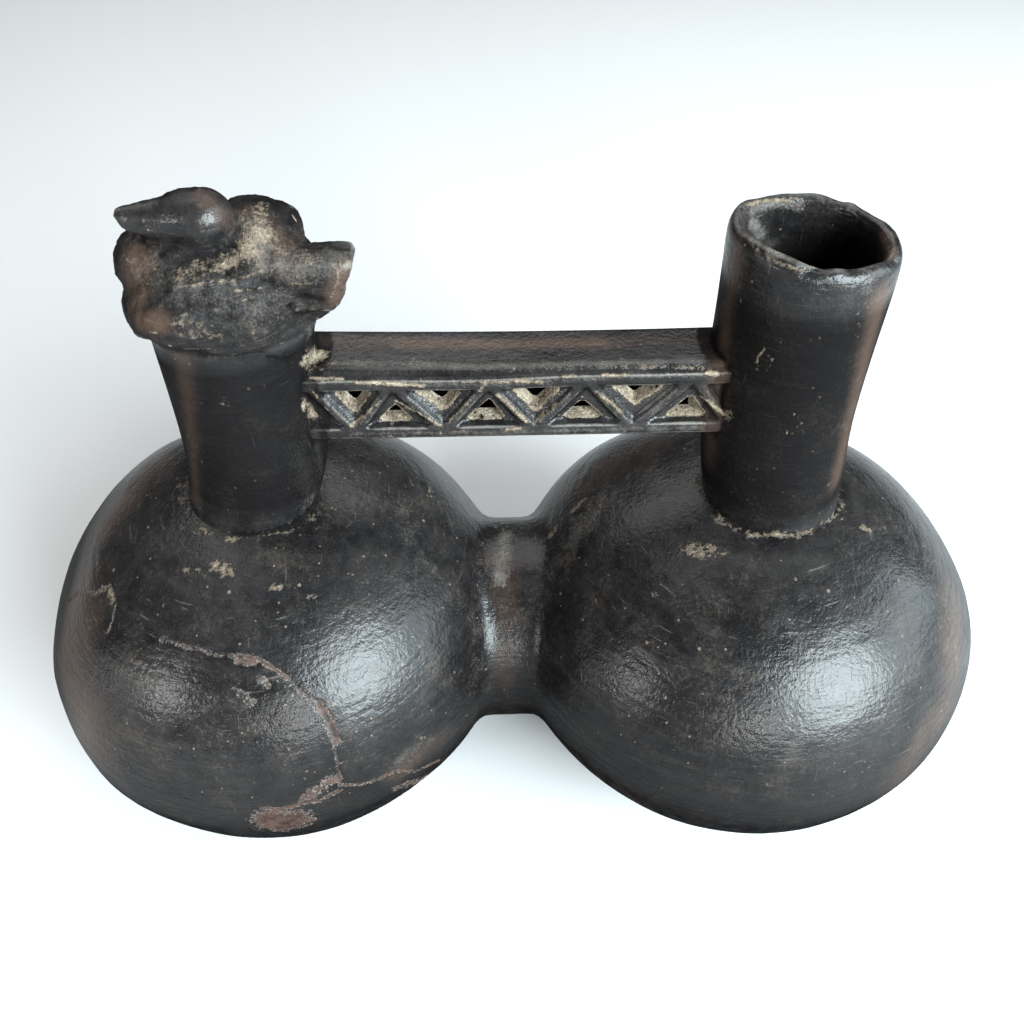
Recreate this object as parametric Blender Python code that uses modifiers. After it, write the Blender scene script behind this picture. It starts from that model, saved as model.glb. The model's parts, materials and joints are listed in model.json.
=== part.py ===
"""Double-chambered bridge-and-spout vessel of burnished blackware clay.

Two round chambers stand side by side on small flat bases and are joined by a short thick
tube. The right chamber carries an open spout, the left one a blind neck with a worn finial.
A hollow bridge with an openwork zigzag front joins the two necks. It is one fired piece,
hollow, with walls of true thickness. Metres, +Z up, front towards -Y, origin on the
standing plane at the middle of the length.
"""
import math
from collections import namedtuple

import bmesh
import bpy
from mathutils import Matrix, Vector

# Chambers: flattened balls, each cut flat where it stands
CHAMBER_SPACING = 0.110
LEFT_RADIUS = 0.0543
LEFT_HALF_HEIGHT = 0.0457
RIGHT_RADIUS = 0.0557
RIGHT_HALF_HEIGHT = 0.0439
BASE_RADIUS = 0.018
CHAMBER_WALL = 0.0048

# Tube between the chambers
TUBE_RADIUS = 0.0242
TUBE_WALL = 0.0045
TUBE_DROP = 0.0020

# Necks: both stand inside their chamber's axis and splay outwards at the foot
LEFT_NECK_RADIUS = 0.0144
LEFT_NECK_TOP = 0.1300
LEFT_NECK_IN = 0.0039
LEFT_SPLAY = 0.0041
RIGHT_NECK_RADIUS = 0.0151
RIGHT_NECK_IN = 0.0021
RIGHT_SPLAY = 0.0040
SPLAY_RISE = 0.0250
RIM_HEIGHT = 0.1443
RIM_FALL = 0.0016
RIM_ROUNDING = 0.0014
NECK_WALL = 0.0030
NECK_SINK = 0.0070
NECK_CLOSED_TOP = 0.0080

# Bridge between the necks, hollow behind a thin openwork front
BRIDGE_TOP = 0.1211
BRIDGE_HEIGHT = 0.0154
BRIDGE_DEPTH = 0.0140
BRIDGE_EDGE = 0.0008
PANEL_WALL = 0.0030
CHANNEL_ROOF = 0.0030
CHANNEL_END_WALL = 0.0030

# Zigzag on the bridge: rails above and below, ribs between them, a window in each triangle
RAIL_RADIUS = 0.0013
TOP_RAIL_DROP = 0.0024
BOTTOM_RAIL_LIFT = 0.0016
RIB_RADIUS = 0.0010
RIB_PROUD = 0.0002
LEG_HALF_WIDTH = 0.0015
WINDOW_PLAY = 0.0010
# Turns of the zigzag as shares of the clear span, from the left neck to the right one; the
# first turn is at the top rail, they alternate from there, and the last runs onto the neck
ZIGZAG_TURNS = (0.0, 0.081, 0.198, 0.316, 0.422, 0.549, 0.691, 0.808, 0.967, 1.052)

# Finial on the left neck: worn lobes of one modelled lump
FINIAL_HEIGHT = 0.0310
FINIAL_GRAIN = 0.0011
FINIAL_SMOOTHING = 3
FINIAL_FACETS = 0.14
LOBE_STEPS = 20
LOBE_ROWS = 12

# Roundness
CHAMBER_STEPS = 40
CHAMBER_ROWS = 14
HOLLOW_STEPS = 32
HOLLOW_ROWS = 10
NECK_STEPS = 32
SPLAY_ROWS = 5
SHARP_DEGREES = 35.0
MERGE = 0.00001

LENGTH = LEFT_RADIUS + CHAMBER_SPACING + RIGHT_RADIUS
LEFT_X = LEFT_RADIUS - LENGTH / 2
RIGHT_X = LENGTH / 2 - RIGHT_RADIUS

# Lobes of the finial: centre above the neck's top, then half sizes, all as shares of the
# finial's height. A block has flat sides and an end that leans out; a ball is round.
FINIAL_LOBES = (
    ("ball", (0.00, 0.00, 0.21), (0.50, 0.53, 0.35)),
    ("ball", (-0.10, -0.25, 0.22), (0.34, 0.31, 0.20)),
    ("ball", (-0.29, -0.10, 0.38), (0.18, 0.22, 0.20)),
    ("ball", (-0.34, -0.13, 0.10), (0.18, 0.24, 0.15)),
    ("ball", (0.28, 0.16, 0.43), (0.24, 0.20, 0.22)),
    ("block", (0.47, -0.15, 0.34), (0.31, 0.13, 0.14)),
    ("ball", (0.30, -0.06, 0.10), (0.26, 0.33, 0.22)),
    ("ball", (0.01, -0.10, 0.62), (0.21, 0.20, 0.19)),
    ("ball", (-0.13, -0.10, 0.63), (0.20, 0.14, 0.13)),
    ("ball", (-0.32, -0.10, 0.66), (0.14, 0.10, 0.085)),
)
BLOCK_LEAN = 0.50


def clear_scene():
    """Remove every object, so that the file can be run again."""
    for existing in list(bpy.data.objects):
        bpy.data.objects.remove(existing, do_unlink=True)


def new_collection(name):
    """A collection linked to the scene."""
    group = bpy.data.collections.new(name)
    bpy.context.scene.collection.children.link(group)
    return group


def clay_material():
    """Burnished blackware: dark grey, half glossy, no metal."""
    clay = bpy.data.materials.new("blackware_clay")
    clay.use_nodes = True
    shader = clay.node_tree.nodes["Principled BSDF"]
    shader.inputs["Base Color"].default_value = (0.030, 0.029, 0.030, 1.0)
    shader.inputs["Roughness"].default_value = 0.38
    shader.inputs["Metallic"].default_value = 0.0
    return clay


def place(name, mesh, group, guide=True):
    """Add a mesh as a named object; a guide is a shape that only joins or cuts."""
    piece = bpy.data.objects.new(name, mesh)
    group.objects.link(piece)
    if guide:
        piece.hide_render = True
        piece.display_type = 'WIRE'
    return piece


def settled(piece):
    """Turn a curve or a piece with modifiers into a plain mesh object in the same place."""
    bpy.context.view_layer.update()
    graph = bpy.context.evaluated_depsgraph_get()
    mesh = bpy.data.meshes.new_from_object(piece.evaluated_get(graph))
    work = bmesh.new()
    work.from_mesh(mesh)
    bmesh.ops.remove_doubles(work, verts=work.verts, dist=MERGE)
    bmesh.ops.recalc_face_normals(work, faces=work.faces)
    work.to_mesh(mesh)
    work.free()
    name = piece.name
    group = piece.users_collection[0]
    matrix = piece.matrix_world.copy()
    bpy.data.objects.remove(piece, do_unlink=True)
    plain = place(name, mesh, group)
    plain.matrix_world = matrix
    return plain


def turned(name, profile, steps, group):
    """A solid of revolution about Z from (radius, height) points, outer side top to bottom."""
    mesh = bpy.data.meshes.new(name)
    points = [(radius, 0.0, height) for radius, height in profile]
    edges = [(index, index + 1) for index in range(len(points) - 1)]
    mesh.from_pydata(points, edges, [])
    piece = place(name, mesh, group)
    screw = piece.modifiers.new("turn", 'SCREW')
    screw.angle = math.tau
    screw.steps = steps
    screw.render_steps = steps
    screw.use_merge_vertices = True
    screw.merge_threshold = MERGE
    return settled(piece)


def moved(piece, rule):
    """Move every point of a mesh by a rule that gives its new place."""
    for vertex in piece.data.vertices:
        vertex.co = rule(vertex.co.copy())
    return piece


def chamber_middle(radius, half_height):
    """Height of a chamber's widest line above the standing plane."""
    return half_height * math.sqrt(1.0 - (BASE_RADIUS / radius) ** 2)


def chamber(name, axis_x, radius, half_height, group):
    """Outer form of a chamber: a flattened ball cut flat at the standing plane."""
    middle = chamber_middle(radius, half_height)
    lowest = -math.acos(BASE_RADIUS / radius)
    profile = []
    for row in range(CHAMBER_ROWS + 1):
        turn = math.pi / 2 + (lowest - math.pi / 2) * row / CHAMBER_ROWS
        profile.append((radius * math.cos(turn), middle + half_height * math.sin(turn)))
    profile[0] = (0.0, middle + half_height)
    profile[-1] = (BASE_RADIUS, 0.0)
    profile.append((0.0, 0.0))
    piece = turned(name, profile, CHAMBER_STEPS, group)
    piece.location.x = axis_x
    return piece


def chamber_hollow(name, axis_x, radius, half_height, group):
    """Inside of a chamber, one wall thickness in from the outer form and flat over the base."""
    middle = chamber_middle(radius, half_height)
    inner_radius = radius - CHAMBER_WALL
    inner_half = half_height - CHAMBER_WALL
    floor_turn = -math.asin((middle - CHAMBER_WALL) / inner_half)
    profile = []
    for row in range(HOLLOW_ROWS + 1):
        turn = math.pi / 2 + (floor_turn - math.pi / 2) * row / HOLLOW_ROWS
        profile.append((inner_radius * math.cos(turn), middle + inner_half * math.sin(turn)))
    profile[0] = (0.0, middle + inner_half)
    profile.append((0.0, CHAMBER_WALL))
    piece = turned(name, profile, HOLLOW_STEPS, group)
    piece.location.x = axis_x
    return piece


def cylinder_along_x(name, radius, start_x, end_x, height, steps, group):
    """A round bar along X between two places at one height."""
    mesh = bpy.data.meshes.new(name)
    work = bmesh.new()
    bmesh.ops.create_cone(work, cap_ends=True, segments=steps, radius1=radius, radius2=radius,
                          depth=end_x - start_x)
    bmesh.ops.rotate(work, verts=work.verts, matrix=Matrix.Rotation(math.pi / 2, 3, 'Y'))
    bmesh.ops.translate(work, verts=work.verts, vec=((start_x + end_x) / 2, 0.0, height))
    work.to_mesh(mesh)
    work.free()
    return place(name, mesh, group)


Neck = namedtuple("Neck", "axis_x splay foot_z top_z radius")


def neck_foot(radius, half_height, neck_radius):
    """Height at which a neck of this radius meets its chamber."""
    reach = math.sqrt(1.0 - (neck_radius / radius) ** 2)
    return chamber_middle(radius, half_height) + half_height * reach


def left_neck():
    """The blind neck under the finial."""
    foot = neck_foot(LEFT_RADIUS, LEFT_HALF_HEIGHT, LEFT_NECK_RADIUS)
    return Neck(LEFT_X + LEFT_NECK_IN, -LEFT_SPLAY, foot, LEFT_NECK_TOP, LEFT_NECK_RADIUS)


def right_neck():
    """The open spout."""
    foot = neck_foot(RIGHT_RADIUS, RIGHT_HALF_HEIGHT, RIGHT_NECK_RADIUS)
    return Neck(RIGHT_X - RIGHT_NECK_IN, RIGHT_SPLAY, foot, RIM_HEIGHT, RIGHT_NECK_RADIUS)


def axis_at(neck, height):
    """X of a neck's axis at a height: straight above, splayed outwards towards the foot."""
    rise = min(max((height - neck.foot_z) / SPLAY_RISE, 0.0), 1.0)
    return neck.axis_x + neck.splay * (1.0 - rise) ** 2


def neck_bar(name, neck, radius, bottom, top, fall, rounding, group):
    """A solid neck about its curved axis, between two heights; its top falls across X."""
    profile = [(0.0, top)]
    if rounding > 0.0:
        profile.append((radius - rounding, top))
    profile.append((radius, top - rounding))
    for row in range(SPLAY_ROWS + 1):
        profile.append((radius, neck.foot_z + SPLAY_RISE * (1.0 - row / SPLAY_ROWS)))
    profile.append((radius, bottom))
    profile.append((0.0, bottom))
    piece = turned(name, profile, NECK_STEPS, group)

    def bend(point):
        share = (point.z - bottom) / (top - bottom)
        slope = -fall / (2 * radius) * share
        return Vector((axis_at(neck, point.z) + point.x, point.y, point.z + slope * point.x))

    return moved(piece, bend)


def bridge_middle():
    """Height of the bridge's centre line."""
    return BRIDGE_TOP - BRIDGE_HEIGHT / 2


def bridge_ends():
    """X of the two neck axes at the bridge's height."""
    return [axis_at(neck, bridge_middle()) for neck in (left_neck(), right_neck())]


def clear_span():
    """X of the two necks' inner faces at the bridge's height."""
    left, right = bridge_ends()
    return left + LEFT_NECK_RADIUS, right - RIGHT_NECK_RADIUS


def box(name, low, high, edge, group):
    """A box between two corners, with its edges bevelled when edge is not zero."""
    mesh = bpy.data.meshes.new(name)
    work = bmesh.new()
    bmesh.ops.create_cube(work, size=1.0)
    size = Vector(high) - Vector(low)
    bmesh.ops.scale(work, verts=work.verts, vec=size)
    bmesh.ops.translate(work, verts=work.verts, vec=(Vector(low) + Vector(high)) / 2)
    work.to_mesh(mesh)
    work.free()
    piece = place(name, mesh, group)
    if edge > 0.0:
        bevel = piece.modifiers.new("edges", 'BEVEL')
        bevel.width = edge
        bevel.segments = 2
        piece = settled(piece)
    return piece


def bridge_bar(group):
    """Outer form of the bridge, running from one neck's axis to the other's."""
    left, right = bridge_ends()
    low = (left, -BRIDGE_DEPTH / 2, BRIDGE_TOP - BRIDGE_HEIGHT)
    high = (right, BRIDGE_DEPTH / 2, BRIDGE_TOP)
    return box("bridge_bar", low, high, BRIDGE_EDGE, group)


def zigzag_points():
    """Turns of the zigzag as (x, z), alternating between the two rails."""
    start, end = clear_span()
    top = BRIDGE_TOP - TOP_RAIL_DROP
    bottom = BRIDGE_TOP - BRIDGE_HEIGHT + BOTTOM_RAIL_LIFT
    points = []
    for index, share in enumerate(ZIGZAG_TURNS):
        height = top if index % 2 == 0 else bottom
        points.append((start + (end - start) * share, height))
    return points


def rod(name, points, radius, group):
    """A rod with filled ends through points in the front plane of the bridge."""
    curve = bpy.data.curves.new(name, 'CURVE')
    curve.dimensions = '3D'
    curve.bevel_depth = radius
    curve.bevel_resolution = 1
    curve.use_fill_caps = True
    spline = curve.splines.new('POLY')
    spline.points.add(len(points) - 1)
    for target, (x, z) in zip(spline.points, points):
        target.co = (x, -BRIDGE_DEPTH / 2 - RIB_PROUD, z, 1.0)
    piece = bpy.data.objects.new(name, curve)
    group.objects.link(piece)
    return settled(piece)


def bridge_relief(group):
    """Top rail, bottom rail and zigzag rib on the bridge's front."""
    left, right = bridge_ends()
    turns = zigzag_points()
    top = turns[0][1]
    bottom = turns[1][1]
    rails = [
        rod("top_rail", [(left, top), (right, top)], RAIL_RADIUS, group),
        rod("bottom_rail", [(left, bottom), (right, bottom)], RAIL_RADIUS, group),
    ]
    return rails + [rod("zigzag_rib", turns, RIB_RADIUS, group)]


def inset_triangle(corners, inset):
    """A triangle drawn in by inset on every side, or None if nothing is left of it."""
    a, b, c = [Vector(corner) for corner in corners]
    side_a, side_b, side_c = (b - c).length, (c - a).length, (a - b).length
    around = side_a + side_b + side_c
    centre = (a * side_a + b * side_b + c * side_c) / around
    edge_ab, edge_ac = b - a, c - a
    area = abs(edge_ab.x * edge_ac.y - edge_ab.y * edge_ac.x) / 2
    room = 2 * area / around
    share = 1.0 - inset / room
    if share <= 0.0:
        return None
    return [centre + (corner - centre) * share for corner in (a, b, c)]


def bridge_windows(group):
    """Triangular windows between the zigzag's legs, as one cutter through the front panel."""
    turns = zigzag_points()
    curve = bpy.data.curves.new("windows", 'CURVE')
    curve.dimensions = '2D'
    curve.fill_mode = 'BOTH'
    curve.extrude = (PANEL_WALL + 2 * RAIL_RADIUS + WINDOW_PLAY) / 2
    for index in range(len(turns) - 2):
        window = inset_triangle(turns[index:index + 3], LEG_HALF_WIDTH)
        if window is None:
            continue
        spline = curve.splines.new('POLY')
        spline.points.add(2)
        spline.use_cyclic_u = True
        for target, corner in zip(spline.points, window):
            target.co = (corner.x, corner.y, 0.0, 1.0)
    piece = bpy.data.objects.new("windows", curve)
    group.objects.link(piece)
    piece.rotation_euler = (math.pi / 2, 0.0, 0.0)
    front = -BRIDGE_DEPTH / 2 - 2 * RAIL_RADIUS
    piece.location.y = front + curve.extrude
    return settled(piece)


def bridge_channel(group):
    """Hollow inside the bridge, behind the openwork front."""
    start, end = clear_span()
    floor = BRIDGE_TOP - BRIDGE_HEIGHT + BOTTOM_RAIL_LIFT + RAIL_RADIUS / 2
    low = (start + CHANNEL_END_WALL, -BRIDGE_DEPTH / 2 + PANEL_WALL, floor)
    high = (end - CHANNEL_END_WALL, BRIDGE_DEPTH / 2 - PANEL_WALL, BRIDGE_TOP - CHANNEL_ROOF)
    return box("bridge_channel", low, high, 0.0, group)


def add_lobe(work, kind, centre, half_sizes):
    """Add one lobe of the finial, seated above the top of the left neck."""
    if kind == "ball":
        lobe = bmesh.ops.create_uvsphere(work, u_segments=LOBE_STEPS, v_segments=LOBE_ROWS,
                                         radius=1.0)["verts"]
    else:
        lobe = bmesh.ops.create_cube(work, size=2.0)["verts"]
        for vertex in lobe:
            if vertex.co.x > 0:
                vertex.co.x += BLOCK_LEAN * half_sizes[2] / half_sizes[0] * vertex.co.z
    neck = left_neck()
    seat = Vector((neck.axis_x, 0.0, neck.top_z))
    bmesh.ops.scale(work, verts=lobe, vec=Vector(half_sizes) * FINIAL_HEIGHT)
    bmesh.ops.translate(work, verts=lobe, vec=seat + Vector(centre) * FINIAL_HEIGHT)


def finial(group):
    """The worn finial: its lobes grown together into one skin, smoothed and thinned out."""
    work = bmesh.new()
    for kind, centre, half_sizes in FINIAL_LOBES:
        add_lobe(work, kind, centre, half_sizes)
    mesh = bpy.data.meshes.new("finial")
    work.to_mesh(mesh)
    work.free()
    piece = place("finial", mesh, group)
    skin = piece.modifiers.new("one_skin", 'REMESH')
    skin.mode = 'VOXEL'
    skin.voxel_size = FINIAL_GRAIN
    smooth = piece.modifiers.new("worn", 'SMOOTH')
    smooth.factor = 0.5
    smooth.iterations = FINIAL_SMOOTHING
    thin = piece.modifiers.new("facets", 'DECIMATE')
    thin.ratio = FINIAL_FACETS
    return settled(piece)


def combine(body, operation, others):
    """Join or cut the body with each of the other shapes, in order."""
    for other in others:
        step = body.modifiers.new(operation.lower() + "_" + other.name, 'BOOLEAN')
        step.operation = operation
        step.solver = 'EXACT'
        step.object = other


def build():
    """Make the vessel."""
    clear_scene()
    forms = new_collection("double_chambered_vessel")
    guides = new_collection("guides")

    left, right = left_neck(), right_neck()
    tube_start = LEFT_X + LEFT_RADIUS / 2
    tube_end = RIGHT_X - RIGHT_RADIUS / 2
    middles = (chamber_middle(LEFT_RADIUS, LEFT_HALF_HEIGHT),
               chamber_middle(RIGHT_RADIUS, RIGHT_HALF_HEIGHT))
    tube_height = sum(middles) / 2 - TUBE_DROP

    body = chamber("double_vessel", LEFT_X, LEFT_RADIUS, LEFT_HALF_HEIGHT, forms)
    joined = [
        cylinder_along_x("tube", TUBE_RADIUS, tube_start, tube_end, tube_height,
                         CHAMBER_STEPS, guides),
        chamber("right_chamber", RIGHT_X, RIGHT_RADIUS, RIGHT_HALF_HEIGHT, guides),
        neck_bar("left_neck", left, left.radius, left.foot_z - NECK_SINK, left.top_z,
                 0.0, 0.0, guides),
        neck_bar("right_neck", right, right.radius, right.foot_z - NECK_SINK, right.top_z,
                 RIM_FALL, RIM_ROUNDING, guides),
        bridge_bar(guides),
    ]
    joined += bridge_relief(guides)
    joined.append(finial(guides))
    combine(body, 'UNION', joined)

    hollows = [
        chamber_hollow("left_hollow", LEFT_X, LEFT_RADIUS, LEFT_HALF_HEIGHT, guides),
        chamber_hollow("right_hollow", RIGHT_X, RIGHT_RADIUS, RIGHT_HALF_HEIGHT, guides),
        cylinder_along_x("tube_bore", TUBE_RADIUS - TUBE_WALL, tube_start, tube_end,
                         tube_height, HOLLOW_STEPS, guides),
        neck_bar("left_bore", left, left.radius - NECK_WALL, left.foot_z - 2 * NECK_SINK,
                 left.top_z - NECK_CLOSED_TOP, 0.0, 0.0, guides),
        neck_bar("spout_bore", right, right.radius - NECK_WALL, right.foot_z - 2 * NECK_SINK,
                 right.top_z + 2 * RIM_FALL, 0.0, 0.0, guides),
        bridge_channel(guides),
        bridge_windows(guides),
    ]
    combine(body, 'DIFFERENCE', hollows)

    body.hide_render = False
    body.display_type = 'TEXTURED'
    body.data.materials.append(clay_material())
    body.data.shade_smooth()
    body.data.set_sharp_from_angle(angle=math.radians(SHARP_DEGREES))


build()
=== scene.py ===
# %% [markdown]
# # A double-chambered vessel in burnished blackware
#
# Two round pots stand side by side, joined by a short tube. One carries an open spout, the
# other a closed neck with a worn figure on top, and a hollow bridge with an openwork zigzag
# runs between the necks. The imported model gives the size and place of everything; this
# lesson models the same vessel again as one fine skin, with its wear, cracks and burnish.
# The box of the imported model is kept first, because the new skin has to stay inside it.

# %% Load the frame
import json
import math
from collections import namedtuple

import bmesh
import bpy
import numpy as np
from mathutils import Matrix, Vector, noise
from mathutils.bvhtree import BVHTree

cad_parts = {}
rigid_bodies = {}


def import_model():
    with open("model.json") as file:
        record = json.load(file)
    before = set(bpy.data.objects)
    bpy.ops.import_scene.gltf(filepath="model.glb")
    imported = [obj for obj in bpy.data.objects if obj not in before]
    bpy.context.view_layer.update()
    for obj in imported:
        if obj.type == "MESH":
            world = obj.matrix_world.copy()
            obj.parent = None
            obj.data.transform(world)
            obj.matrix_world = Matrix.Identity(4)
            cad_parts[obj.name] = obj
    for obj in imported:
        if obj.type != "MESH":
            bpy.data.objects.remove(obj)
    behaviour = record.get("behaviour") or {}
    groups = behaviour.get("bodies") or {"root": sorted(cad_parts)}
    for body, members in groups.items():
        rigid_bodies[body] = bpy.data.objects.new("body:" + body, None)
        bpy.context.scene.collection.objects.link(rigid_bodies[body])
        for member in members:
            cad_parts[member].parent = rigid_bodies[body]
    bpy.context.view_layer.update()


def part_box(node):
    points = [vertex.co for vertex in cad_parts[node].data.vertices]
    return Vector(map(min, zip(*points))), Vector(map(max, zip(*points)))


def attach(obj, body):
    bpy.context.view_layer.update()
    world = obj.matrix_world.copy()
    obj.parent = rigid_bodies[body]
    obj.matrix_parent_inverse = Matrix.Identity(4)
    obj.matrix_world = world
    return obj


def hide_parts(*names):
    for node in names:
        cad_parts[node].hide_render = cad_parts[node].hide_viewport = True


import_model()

low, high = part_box("double_vessel")
MM = 0.001
print("packed vessel, mm:", [round((b - a) / MM, 1) for a, b in zip(low, high)])

# %% [markdown]
# ## Where the eye stands
#
# Everything that is placed by the photograph is placed through its camera, so the camera
# comes first. Its lens and place were worked out from the outlines of the two chambers. A
# pixel of the picture then is a line of sight, and a stain or a crack lies where that line
# meets the clay.

# %% Set the camera
PICTURE = 1024
FOCAL_PIXELS = 900.0
SENSOR = 36.0
EYE = Vector((-3.37, -141.11, 220.85)) * MM
TILT, ROLL, TURN = 44.526, 0.196, -1.398

camera_data = bpy.data.cameras.new("eye")
camera_data.sensor_width = SENSOR
camera_data.lens = FOCAL_PIXELS / PICTURE * SENSOR
camera_data.clip_start = 0.01
camera = bpy.data.objects.new("eye", camera_data)
camera.location = EYE
camera.rotation_euler = [math.radians(angle) for angle in (TILT, ROLL, TURN)]
bpy.context.scene.collection.objects.link(camera)
bpy.context.scene.camera = camera
bpy.context.view_layer.update()


def sight(x, y):
    """Direction of the line of sight through a pixel."""
    ray = Vector((x - PICTURE / 2, PICTURE / 2 - y, -FOCAL_PIXELS))
    return (camera.matrix_world.to_3x3() @ ray).normalized()


print("camera looks along", [round(part, 3) for part in sight(PICTURE / 2, PICTURE / 2)])

# %% [markdown]
# ## A few hand tools
#
# Blender's operators act on what is selected, so each tool first clears the selection. A
# modifier is added and applied in one step, the way you would press Apply by hand. Points
# are read and written all at once as an array, which is how a sculpting move is made here.

# %% Tools for making pieces
def alone(*pieces):
    """Select only these pieces; the first is the active one."""
    bpy.ops.object.select_all(action='DESELECT')
    for piece in pieces:
        piece.select_set(True)
    bpy.context.view_layer.objects.active = pieces[0]


def applied(piece, kind, **settings):
    """Add a modifier and apply it."""
    step = piece.modifiers.new(kind.lower(), kind)
    for setting, value in settings.items():
        setattr(step, setting, value)
    alone(piece)
    bpy.ops.object.modifier_apply(modifier=step.name)
    return piece


def named(name):
    """Name the primitive just added and put its place and size into its mesh."""
    piece = bpy.context.object
    piece.name = name
    bpy.ops.object.transform_apply(location=True, rotation=True, scale=True)
    return piece


def joined(name, *pieces):
    """Make several meshes one object."""
    alone(*pieces)
    bpy.ops.object.join()
    pieces[0].name = name
    return pieces[0]


def ball(name, centre, half_sizes, segments=32, rings=16):
    """A ball or egg, its centre and half sizes in millimetres."""
    bpy.ops.mesh.primitive_uv_sphere_add(
        segments=segments, ring_count=rings, radius=MM,
        location=Vector(centre) * MM, scale=half_sizes)
    return named(name)


def block(name, first, second):
    """A box between two corners in millimetres."""
    first, second = Vector(first), Vector(second)
    bpy.ops.mesh.primitive_cube_add(size=MM, location=(first + second) / 2 * MM,
                                    scale=second - first)
    return named(name)


def tower(name, rings, sides):
    """A round tower raised ring by ring; a ring is (height, axis x, radius) in millimetres."""
    height, axis, radius = rings[0]
    bpy.ops.mesh.primitive_circle_add(vertices=sides, radius=radius * MM, fill_type='NGON',
                                      location=(axis * MM, 0, height * MM))
    piece = named(name)
    bpy.ops.object.mode_set(mode='EDIT')
    for next_height, next_axis, next_radius in rings[1:]:
        step = Vector((next_axis - axis, 0, next_height - height)) * MM
        bpy.ops.mesh.extrude_region_move(TRANSFORM_OT_translate={"value": step})
        share = next_radius / radius
        bpy.ops.transform.resize(value=(share, share, share),
                                 center_override=(next_axis * MM, 0, next_height * MM))
        height, axis, radius = next_height, next_axis, next_radius
    bpy.ops.mesh.select_all(action='SELECT')
    bpy.ops.mesh.normals_make_consistent(inside=False)
    bpy.ops.object.mode_set(mode='OBJECT')
    return piece


def cut(piece, *cutters):
    """Take other shapes away from a piece."""
    for cutter in cutters:
        applied(piece, 'BOOLEAN', operation='DIFFERENCE', solver='EXACT', object=cutter)
        bpy.data.objects.remove(cutter, do_unlink=True)


def merged(piece, *others):
    """Melt other shapes into a piece."""
    for other in others:
        applied(piece, 'BOOLEAN', operation='UNION', solver='EXACT', object=other)
        bpy.data.objects.remove(other, do_unlink=True)


def points_of(piece):
    """The points of a mesh in millimetres, one row each."""
    points = np.zeros(len(piece.data.vertices) * 3)
    piece.data.vertices.foreach_get("co", points)
    return points.reshape(-1, 3) / MM


def set_points(piece, points):
    """Write the points of a mesh back, in millimetres."""
    piece.data.vertices.foreach_set("co", (points * MM).ravel())
    piece.data.update()


def normals_of(piece):
    """The outward direction at each point of a mesh."""
    normals = np.zeros(len(piece.data.vertices) * 3)
    piece.data.vertices.foreach_get("normal", normals)
    return normals.reshape(-1, 3)


def skin_of(piece):
    """A search tree of a mesh's faces, for lines of sight to meet."""
    work = bmesh.new()
    work.from_mesh(piece.data)
    tree = BVHTree.FromBMesh(work)
    work.free()
    return tree


# The stretch of a line of sight, in metres from the eye, where the clay can lie
NEAR_CLAY, SIGHT_STEP, SIGHT_STEPS = 0.10, 0.002, 100


def touch(tree, x, y):
    """Where the line of sight through a pixel meets the clay, in millimetres.

    A line that just misses takes the nearest clay beside it."""
    ray = sight(x, y)
    met = tree.ray_cast(EYE, ray)[0]
    if met is None:
        beside = [tree.find_nearest(EYE + ray * (NEAR_CLAY + SIGHT_STEP * step))
                  for step in range(SIGHT_STEPS)]
        met = min(beside, key=lambda found: found[3])[0]
    return np.array(met) / MM


def fade(distance, reach):
    """1 at no distance, falling smoothly to 0 at the reach."""
    share = np.clip(1 - distance / reach, 0, 1)
    return share * share * (3 - 2 * share)


print("tools ready")

# %% [markdown]
# ## The two chambers and the tube
#
# A chamber was built up by hand, so it is a flattened ball and not a turned one. Each starts
# as a sphere at its real size, cut flat where it stands. The tube is a cylinder pushed into
# both. Joined into one mesh and remeshed, the three grow together with the soft hollow seam
# that a potter's wet finger leaves; a Boolean would leave a hard line there.

# %% Model the chambers and the tube
Chamber = namedtuple("Chamber", "axis middle radius half_height")
SPACING = 110.0
LEFT = Chamber(low.x / MM + 54.3, 43.1, 54.3, 45.7)
RIGHT = Chamber(high.x / MM - 55.7, 41.5, 55.7, 43.9)
TUBE_HEIGHT = 40.4
TUBE_RADIUS = 24.6
BODY_GRAIN = 1.7


def cut_flat(piece, height):
    """Cut off what is below a height, in millimetres, and close the cut."""
    alone(piece)
    bpy.ops.object.mode_set(mode='EDIT')
    bpy.ops.mesh.select_all(action='SELECT')
    bpy.ops.mesh.bisect(plane_co=(0, 0, height * MM), plane_no=(0, 0, 1), use_fill=True,
                        clear_inner=True)
    bpy.ops.object.mode_set(mode='OBJECT')
    return piece


def chamber(name, form):
    """A flattened ball with a flat base."""
    piece = ball(name, (form.axis, 0, form.middle),
                 (form.radius, form.radius, form.half_height), 128, 64)
    return cut_flat(piece, 0)


def lying_tube(name, radius, sides):
    """A round bar along the line between the chambers."""
    bpy.ops.mesh.primitive_cylinder_add(
        vertices=sides, radius=radius * MM, depth=SPACING / 2 * MM,
        location=(0, 0, TUBE_HEIGHT * MM), rotation=(0, math.pi / 2, 0))
    return named(name)


tube = lying_tube("tube", TUBE_RADIUS, 96)
vessel = joined("vessel", chamber("left_chamber", LEFT), chamber("right_chamber", RIGHT), tube)
applied(vessel, 'REMESH', mode='VOXEL', voxel_size=BODY_GRAIN * MM)
applied(vessel, 'SMOOTH', factor=0.5, iterations=5)
print("body:", len(vessel.data.polygons), "faces")

# %% [markdown]
# ## Dents and fullness
#
# No two sides of a hand-built pot swell alike. A few broad pushes, each with a pixel of the
# picture, a reach and an amount, bring the outline to the real one. It could be sculpted by
# hand with a grab brush; a list of pushes says the same and can be read.

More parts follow.
